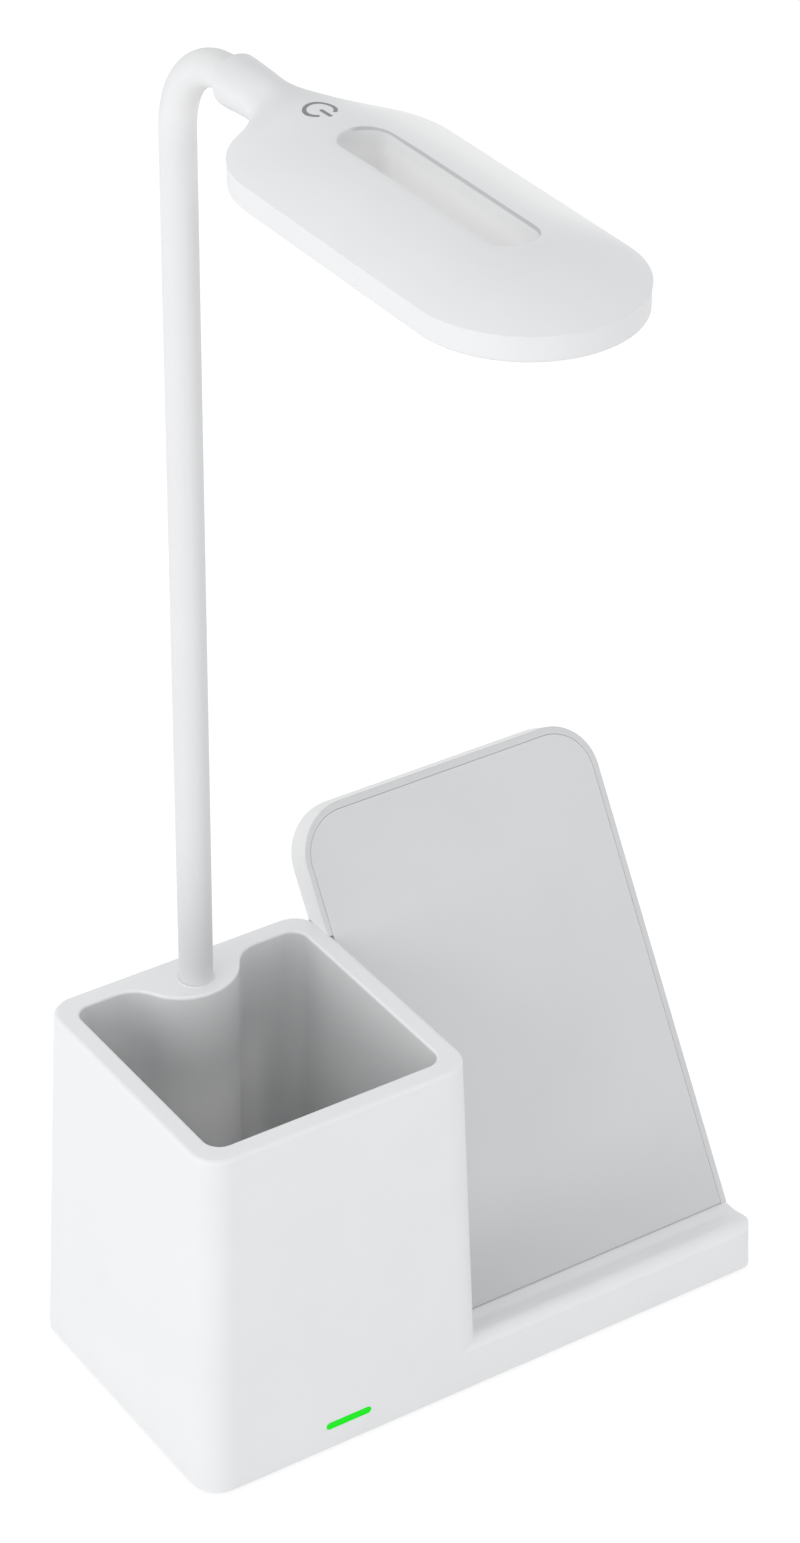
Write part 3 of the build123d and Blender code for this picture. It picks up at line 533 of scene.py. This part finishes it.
# Lamp head cover, with its inner form from the same measures as the CAD shell
HEAD_LOW, HEAD_HIGH = own_box("head_top_shell")
HEAD_RADIUS = (HEAD_HIGH.x - HEAD_LOW.x) / 2
HEEL_CENTRE = HEAD_HEEL - HEAD_RADIUS
TIP_CENTRE = HEAD_LOW.y + HEAD_RADIUS
RIM_HEIGHT = own_box("diffuser")[1].z
DOME_HEIGHT = HEAD_HIGH.z - RIM_HEIGHT
NECK_MOUTH = HEAD_HIGH.y
NECK_RADIUS = 6.2
HEAD_WALL = 1.6
SLOT_WALL = 1.4
SLOT_EDGE_ROUND = 0.4
MOUTH_ROUND = 0.6
SOCKET_DEPTH = 9.0
SOCKET_GAP = 0.1

# The neck's plan: a bell curve that leaves the head's oval where the web starts, drawn in at a waist
WEB_START = 22.6
WEB_ORIGIN = 18.0
WEB_END = 34.0
WEB_HALF = math.sqrt(HEAD_RADIUS ** 2 - (WEB_START - HEEL_CENTRE) ** 2)
WEB_LENGTH = math.sqrt(2 * (WEB_HALF - NECK_RADIUS) * (WEB_START - WEB_ORIGIN) * WEB_HALF
                       / (WEB_START - HEEL_CENTRE))
WEB_GROWTH = (WEB_HALF - NECK_RADIUS) * math.exp(((WEB_START - WEB_ORIGIN) / WEB_LENGTH) ** 2)
WAIST = 0.5
WAIST_IN = (24.0, 32.0)
WAIST_OUT = (37.0, 45.0)

# The neck's ridge over the dome: the spans in which it fades in, rises and changes from a sharp to a
# full section, how softly it blends with the dome and how far its edges stand up
RIDGE_FADE = (-4.0, 8.0)
RIDGE_FOOT = (HEEL_CENTRE, HEEL_CENTRE + 5.0)
RIDGE_SPAN = (18.0, 38.0)
RIDGE_SHARPNESS = (1.6, 0.5)
RIDGE_BLEND = 2.5
EDGE_SWELL = 0.2

# How much lower the dome is towards its heel, as a share, and over which span
HEEL_SAG = 0.08
HEEL_SAG_SPAN = (-20.0, 8.0)

# Rows and steps of the cover's mesh. The plate round the slot ends and the heel's rows start at JOIN_Y.
JOIN_Y = 3.0
ROW_STEPS = 48
PLATE_RINGS = 14
HEEL_STEPS = 14
WEB_STEPS = 18
NECK_STEPS = 8
MOUTH_STEPS = 6
SIDE_STEPS = 40
TIP_STEPS = 60
EDGE_STEPS = 4

# How strongly the web's rows crowd towards the edge of its plan
EDGE_CROWDING = 0.1

# A length in millimetres, and a share of a width, too small to tell from 0
TINY = 1e-6
SHARE_END = 1e-9


def smooth_step(value, low, high):
    t = min(max((value - low) / (high - low), 0.0), 1.0)
    return t * t * (3 - 2 * t)


def smooth_max(a, b, width):
    """The larger of two heights, with a soft change from one to the other."""
    if abs(a - b) >= width:
        return max(a, b)
    return a + (width + b - a) ** 2 / (4 * width)


def nearest_on_spine(y, low, high):
    return CENTRE_X, min(max(y, low), high)


def dome_over(x, y, radius, height):
    """Height of a dome on an oval over the rim, less than 0 outside it."""
    spine_x, spine_y = nearest_on_spine(y, TIP_CENTRE, HEEL_CENTRE)
    away = math.hypot(x - spine_x, y - spine_y)
    arc = (radius ** 2 + height ** 2) / (2 * height)
    return math.sqrt(max(arc ** 2 - away ** 2, 0.0)) - (arc - height)


def sagged_dome(x, y):
    """Height of the outer dome, a little lower towards the heel, and just 0 on the rim."""
    dome = dome_over(x, y, HEAD_RADIUS, DOME_HEIGHT)
    if abs(dome) < TINY:
        return 0.0
    return dome * (1 - HEEL_SAG * smooth_step(y, *HEEL_SAG_SPAN))


def waist(y):
    """How far the neck draws in between the web and its mouth."""
    return WAIST * smooth_step(y, *WAIST_IN) * (1 - smooth_step(y, *WAIST_OUT))


def web_width(y):
    """Half width of the neck in plan."""
    growth = WEB_GROWTH * math.exp(-(max(y - WEB_ORIGIN, 0) / WEB_LENGTH) ** 2)
    return NECK_RADIUS + growth - waist(y)


def web_share(x, y):
    """Distance from the neck's middle as a share of its half width."""
    share = abs(x - CENTRE_X) / web_width(y)
    return 1.0 if share > 1 - SHARE_END else share


def edge_height(y):
    """Height of the neck's side edges, which rise from the rim to the neck's middle."""
    return RIM_HEIGHT + (NECK_HEIGHT - RIM_HEIGHT) * smooth_step(y, WEB_START, WEB_END)


def ridge_peak(y):
    """Height of the neck's ridge that, blended with the dome, gives a level line along the top."""
    crown = sagged_dome(CENTRE_X, y)
    level = NECK_HEIGHT + NECK_RADIUS - RIM_HEIGHT
    line = level + (DOME_HEIGHT - level) * (1 - smooth_step(y, *RIDGE_FADE))
    rise = (smooth_max(crown, line, MOUTH_ROUND) - crown) * smooth_step(y, *RIDGE_FOOT)
    if rise >= RIDGE_BLEND:
        return crown + rise + RIM_HEIGHT
    return crown + 2 * math.sqrt(RIDGE_BLEND * rise) - RIDGE_BLEND + RIM_HEIGHT


def shell_top(x, y):
    """Height of the cover's outer surface."""
    dome = sagged_dome(x, y)
    if y <= HEEL_CENTRE:
        return dome + RIM_HEIGHT
    if abs(dome) < TINY and y < WEB_START + TINY:
        return RIM_HEIGHT
    across = web_share(x, y)
    sharp, full = RIDGE_SHARPNESS
    sharpness = sharp + (full - sharp) * smooth_step(y, *RIDGE_SPAN)
    low = edge_height(y)
    swell = EDGE_SWELL * math.sqrt(1 - across ** 2)
    ridge = low + swell + (ridge_peak(y) - low - EDGE_SWELL) * (1 - across ** 2) ** sharpness
    blend = RIDGE_BLEND * min(max(dome / HEAD_WALL, TINY), 1.0)
    return smooth_max(dome + RIM_HEIGHT, ridge, blend)


def shell_inside(x, y):
    """Height of the cover's inner surface, level with the rim outside the hollow."""
    return RIM_HEIGHT + max(dome_over(x, y, HEAD_RADIUS - HEAD_WALL, DOME_HEIGHT - HEAD_WALL), 0.0)


def neck_underside(x, y):
    """Height of the neck's lower surface."""
    low = edge_height(y)
    depth = low - NECK_HEIGHT + NECK_RADIUS - waist(y)
    return low - depth * math.sqrt(1 - web_share(x, y) ** 2)


def bowed_row(end_y, half_width, bow_half, bow):
    """Plan points from edge to edge, bowed back like the heel of the head's oval."""
    row = []
    for step in range(ROW_STEPS + 1):
        share = -math.cos(math.pi * step / ROW_STEPS)
        arc = math.sqrt(max(HEAD_RADIUS ** 2 - (share * bow_half) ** 2, 0.0))
        arc -= math.sqrt(max(HEAD_RADIUS ** 2 - bow_half ** 2, 0.0))
        row.append((CENTRE_X + share * half_width, end_y + bow * arc))
    return row


def heel_rows():
    """Rows over the head's heel, from straight to its round outline."""
    rows = []
    for step in range(HEEL_STEPS + 1):
        share = step / HEEL_STEPS
        end_y = JOIN_Y + (WEB_START - JOIN_Y) * share
        half = math.sqrt(HEAD_RADIUS ** 2 - (end_y - HEEL_CENTRE) ** 2)
        rows.append(bowed_row(end_y, half, half, share))
    return rows


def inside_web(row):
    """Keeps a row within the neck's plan."""
    kept = []
    for step, (x, y) in enumerate(row):
        share = abs(math.cos(math.pi * step / ROW_STEPS))
        away = min(abs(x - CENTRE_X), web_width(y) * share ** EDGE_CROWDING)
        kept.append((CENTRE_X + math.copysign(away, x - CENTRE_X), y))
    return kept


def neck_rows(first):
    """Rows from the head's round outline to the neck's mouth."""
    rows = [first]
    for step in range(1, WEB_STEPS + 1):
        share = step / WEB_STEPS
        end_y = WEB_START + (WEB_END - WEB_START) * share
        rows.append(inside_web(bowed_row(end_y, web_width(end_y), WEB_HALF, 1 - share)))
    for step in range(1, NECK_STEPS + 1):
        end_y = WEB_END + (NECK_MOUTH - MOUTH_ROUND - WEB_END) * step / NECK_STEPS
        rows.append(bowed_row(end_y, web_width(end_y), WEB_HALF, 0.0))
    return rows


def mouth_rings():
    """Upper and lower halves of the rings that round the mouth and line its socket."""
    places = []
    for step in range(1, MOUTH_STEPS + 1):
        turn = math.pi / 2 * step / MOUTH_STEPS
        places.append((NECK_MOUTH - MOUTH_ROUND * (1 - math.sin(turn)),
                       NECK_RADIUS - MOUTH_ROUND * (1 - math.cos(turn))))
    socket = ARM_RADIUS + SOCKET_GAP
    places += [(NECK_MOUTH, socket), (NECK_MOUTH - SOCKET_DEPTH, socket)]
    rings = []
    for y, radius in places:
        halves = []
        for side in (1, -1):
            halves.append([(CENTRE_X - radius * math.cos(math.pi * step / ROW_STEPS), y,
                            NECK_HEIGHT + side * radius * math.sin(math.pi * step / ROW_STEPS))
                           for step in range(ROW_STEPS + 1)])
        rings.append(halves)
    return rings


def plate_outline():
    """Closed plan loop round the slot: the first heel row, then the rim round the tip."""
    loop = bowed_row(JOIN_Y, math.sqrt(HEAD_RADIUS ** 2 - (JOIN_Y - HEEL_CENTRE) ** 2), 0.0, 0.0)
    right = [(CENTRE_X + HEAD_RADIUS, HEEL_CENTRE + (TIP_CENTRE - HEEL_CENTRE) * step / SIDE_STEPS)
             for step in range(SIDE_STEPS)]
    tip = [(CENTRE_X + HEAD_RADIUS * math.cos(math.pi * step / TIP_STEPS),
            TIP_CENTRE - HEAD_RADIUS * math.sin(math.pi * step / TIP_STEPS))
           for step in range(TIP_STEPS + 1)]
    left = [(2 * CENTRE_X - x, y) for x, y in reversed(right)]
    return loop + right + tip + left


def slot_point(x, y, radius):
    """Point on an oval round the slot, on the side of a point outside it."""
    spine_x, spine_y = nearest_on_spine(y, SLOT_CENTRE - SLOT_REACH, SLOT_CENTRE + SLOT_REACH)
    away = math.hypot(x - spine_x, y - spine_y)
    return spine_x + (x - spine_x) * radius / away, spine_y + (y - spine_y) * radius / away


def between(a, b, share):
    return a[0] + (b[0] - a[0]) * share, a[1] + (b[1] - a[1]) * share


def plate_rings():
    """Loops from the rim over the plate, down the slot, round its wall and back under the plate."""
    outline = plate_outline()
    shares = [ring / PLATE_RINGS for ring in range(PLATE_RINGS + 1)]
    mouth = [slot_point(x, y, SLOT_RADIUS + SLOT_EDGE_ROUND) for x, y in outline]
    loops = []
    for share in shares:
        plan = [between(outer, inner, share) for outer, inner in zip(outline, mouth)]
        loops.append([(x, y, shell_top(x, y)) for x, y in plan])
    heights = [z for _, _, z in loops[-1]]
    for step in range(1, EDGE_STEPS + 1):
        turn = math.pi / 2 * step / EDGE_STEPS
        radius = SLOT_RADIUS + SLOT_EDGE_ROUND * (1 - math.sin(turn))
        drop = SLOT_EDGE_ROUND * (1 - math.cos(turn))
        loops.append([(*slot_point(x, y, radius), z - drop) for (x, y), z in zip(outline, heights)])
    loops.append([(*slot_point(x, y, SLOT_RADIUS), HEAD_LOW.z) for x, y in outline])
    wall = [slot_point(x, y, SLOT_RADIUS + SLOT_WALL) for x, y in outline]
    loops.append([(*spot, HEAD_LOW.z) for spot in wall])
    for share in reversed(shares):
        plan = [between(outer, inner, share) for outer, inner in zip(outline, wall)]
        loops.append([(x, y, shell_inside(x, y)) for x, y in plan])
    return loops


def make_head_cover():
    points, faces = [], []
    loops = plate_rings()
    for first, second in zip(loops, loops[1:]):
        strip(points, faces, first, second, closed=True)
    heel = heel_rows()
    neck = neck_rows(heel[-1])
    surfaces = ((shell_top, heel), (shell_inside, heel), (shell_top, neck), (neck_underside, neck))
    for surface, rows in surfaces:
        lifted = [[(x, y, surface(x, y)) for x, y in row] for row in rows]
        for first, second in zip(lifted, lifted[1:]):
            strip(points, faces, first, second)
    heel_arc = neck[0]
    strip(points, faces, [(x, y, neck_underside(x, y)) for x, y in heel_arc],
          [(x, y, RIM_HEIGHT) for x, y in heel_arc])
    rings = mouth_rings()
    for side, surface in enumerate((shell_top, neck_underside)):
        rows = [[(x, y, surface(x, y)) for x, y in neck[-1]]] + [halves[side] for halves in rings]
        for first, second in zip(rows, rows[1:]):
            strip(points, faces, first, second)
    strip(points, faces, rings[-1][0], rings[-1][1])
    cover = mesh_piece("head_cover", points, faces, "white_head")
    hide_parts("head_top_shell")
    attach(cover, "head")


# Power mark: a ring with a gap, in degrees, and a bar through it, from and to a distance off its centre
MARK_MARGIN = 14.8
MARK_RADIUS = 3.8
MARK_STROKE = 0.94
MARK_GAP = 80.7
MARK_BAR = (0.2, 4.59)
MARK_PROUD = 0.02
MARK_DEPTH = 0.25
CAP_STEPS = 6
RING_STEPS = 60
BAR_STEPS = 8

# Section of a stroke: each corner's side of the centre line, and its height over the head's surface
STROKE_SECTION = ((-1, -MARK_DEPTH), (-1, MARK_PROUD), (0, MARK_PROUD), (1, MARK_PROUD),
                  (1, -MARK_DEPTH))


def round_end(end, side):
    """Sections of a stroke's round end, from its full width to its tip."""
    (x, y), (dx, dy) = end
    half = MARK_STROKE / 2
    sections = []
    for step in range(1, CAP_STEPS):
        turn = math.pi / 2 * step / CAP_STEPS
        reach = side * half * math.sin(turn)
        sections.append(((x + dx * reach, y + dy * reach), (dx, dy), half * math.cos(turn)))
    return sections


def add_stroke(points, faces, centre_line):
    """Adds a closed stroke on the head's surface, along a line of (point, direction) pairs."""
    sections = round_end(centre_line[0], -1)[::-1]
    sections += [(spot, heading, MARK_STROKE / 2) for spot, heading in centre_line]
    sections += round_end(centre_line[-1], 1)
    rings = []
    for (x, y), (dx, dy), half in sections:
        ring = []
        for side, lift in STROKE_SECTION:
            edge_x, edge_y = x - dy * half * side, y + dx * half * side
            ring.append((edge_x, edge_y, shell_top(edge_x, edge_y) + lift))
        rings.append(ring)
    for first, second in zip(rings, rings[1:]):
        strip(points, faces, first, second, closed=True)
    for ring in (rings[0], rings[-1]):
        start = len(points)
        points += ring
        faces.append(tuple(range(start, start + len(ring))))


def make_power_mark():
    centre_y = HEAD_HEEL - MARK_MARGIN
    radius = MARK_RADIUS - MARK_STROKE / 2
    ring = []
    for step in range(RING_STEPS + 1):
        turn = math.radians(MARK_GAP / 2 + (360 - MARK_GAP) * step / RING_STEPS)
        heading = (math.cos(turn), math.sin(turn))
        ring.append(((CENTRE_X + radius * math.sin(turn), centre_y - radius * math.cos(turn)), heading))
    low, high = MARK_BAR[0] + MARK_STROKE / 2, MARK_BAR[1] - MARK_STROKE / 2
    bar = [((CENTRE_X, centre_y - low - (high - low) * step / BAR_STEPS), (0.0, -1.0))
           for step in range(BAR_STEPS + 1)]
    points, faces = [], []
    add_stroke(points, faces, ring)
    add_stroke(points, faces, bar)
    mark = mesh_piece("power_inlay", points, faces, "grey_mark")
    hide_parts("power_mark")
    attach(mark, "head")


# Floor: half its width in metres, the share of light it throws back, and its tone and glow as seen
FLOOR_HALF = 3.0
FLOOR_BOUNCE = 0.75
FLOOR_SEEN = 0.3
FLOOR_GLOW = 0.80

# Sky: its light from all round, what the horizon adds and how fast that falls off with height
SKY_LIGHT = 0.66
HORIZON_LIGHT = 0.90
HORIZON_FALLOFF = 2.0

# Lamp that lights the scene from the left: place, aim and size in metres, and power in watts
LAMP_PLACE = (-2.2, -0.5, 0.9)
LAMP_AIM = (0, 0, 0.15)
LAMP_SIZE = 1.6
LAMP_POWER = 11.5


def seen_or_not(tree, unseen, seen):
    """A shader for rays from the camera, straight, off a gloss or through glass, and one for others."""
    path = node(tree, "ShaderNodeLightPath")
    direct = solve(tree, "MAXIMUM", path.outputs["Is Camera Ray"], path.outputs["Is Glossy Ray"])
    pick = node(tree, "ShaderNodeMixShader")
    feed(tree, pick.inputs[0], solve(tree, "MAXIMUM", direct, path.outputs["Is Transmission Ray"]))
    feed(tree, pick.inputs[1], unseen)
    feed(tree, pick.inputs[2], seen)
    return pick.outputs[0]


def matt(tree, brightness):
    made = node(tree, "ShaderNodeBsdfDiffuse")
    made.inputs["Color"].default_value = (brightness, brightness, brightness, 1)
    return made.outputs[0]


def white_light(tree, kind, strength):
    """A background or an emission of plain white."""
    made = node(tree, kind)
    made.inputs["Color"].default_value = (1, 1, 1, 1)
    feed(tree, made.inputs["Strength"], strength)
    return made.outputs[0]


def make_stage():
    """A paper floor that looks as white as the ground behind it."""
    mesh = bpy.data.meshes.new("floor")
    corners = [(x * FLOOR_HALF, y * FLOOR_HALF, 0) for x, y in ((-1, -1), (1, -1), (1, 1), (-1, 1))]
    mesh.from_pydata(corners, [], [(0, 1, 2, 3)])
    floor = bpy.data.objects.new("floor", mesh)
    bpy.context.scene.collection.objects.link(floor)
    material = bpy.data.materials.new("floor_paper")
    material.use_nodes = True
    tree = material.node_tree
    tree.nodes.clear()
    output = node(tree, "ShaderNodeOutputMaterial")
    both = node(tree, "ShaderNodeAddShader")
    feed(tree, both.inputs[0], matt(tree, FLOOR_SEEN))
    feed(tree, both.inputs[1], white_light(tree, "ShaderNodeEmission", FLOOR_GLOW))
    surface = seen_or_not(tree, matt(tree, FLOOR_BOUNCE), both.outputs[0])
    feed(tree, output.inputs["Surface"], surface)
    mesh.materials.append(material)


def make_world():
    """Soft light from all round, stronger towards the horizon, behind a plain white ground."""
    world = bpy.data.worlds.new("studio")
    bpy.context.scene.world = world
    world.use_nodes = True
    tree = world.node_tree
    tree.nodes.clear()
    output = node(tree, "ShaderNodeOutputWorld")
    where = node(tree, "ShaderNodeTexCoord")
    split = node(tree, "ShaderNodeSeparateXYZ")
    tree.links.new(where.outputs["Generated"], split.inputs[0])
    lowness = solve(tree, "SUBTRACT", 1.0, split.outputs["Z"], clamp=True)
    falloff = solve(tree, "POWER", lowness, HORIZON_FALLOFF)
    strength = sum_of(tree, [(falloff, HORIZON_LIGHT)], SKY_LIGHT)
    soft = white_light(tree, "ShaderNodeBackground", strength)
    white = white_light(tree, "ShaderNodeBackground", 1.0)
    feed(tree, output.inputs["Surface"], seen_or_not(tree, soft, white))


def make_lamp():
    data = bpy.data.lights.new("left_lamp", "AREA")
    data.shape = "SQUARE"
    data.size = LAMP_SIZE
    data.energy = LAMP_POWER
    lamp = bpy.data.objects.new("left_lamp", data)
    lamp.location = LAMP_PLACE
    lamp.rotation_euler = (Vector(LAMP_AIM) - Vector(LAMP_PLACE)).to_track_quat("-Z", "Y").to_euler()
    bpy.context.scene.collection.objects.link(lamp)


make_camera()
dress_nodes()
make_sleeve()
make_head_cover()
make_power_mark()
bpy.context.scene.view_settings.view_transform = "Standard"
make_stage()
make_world()
make_lamp()
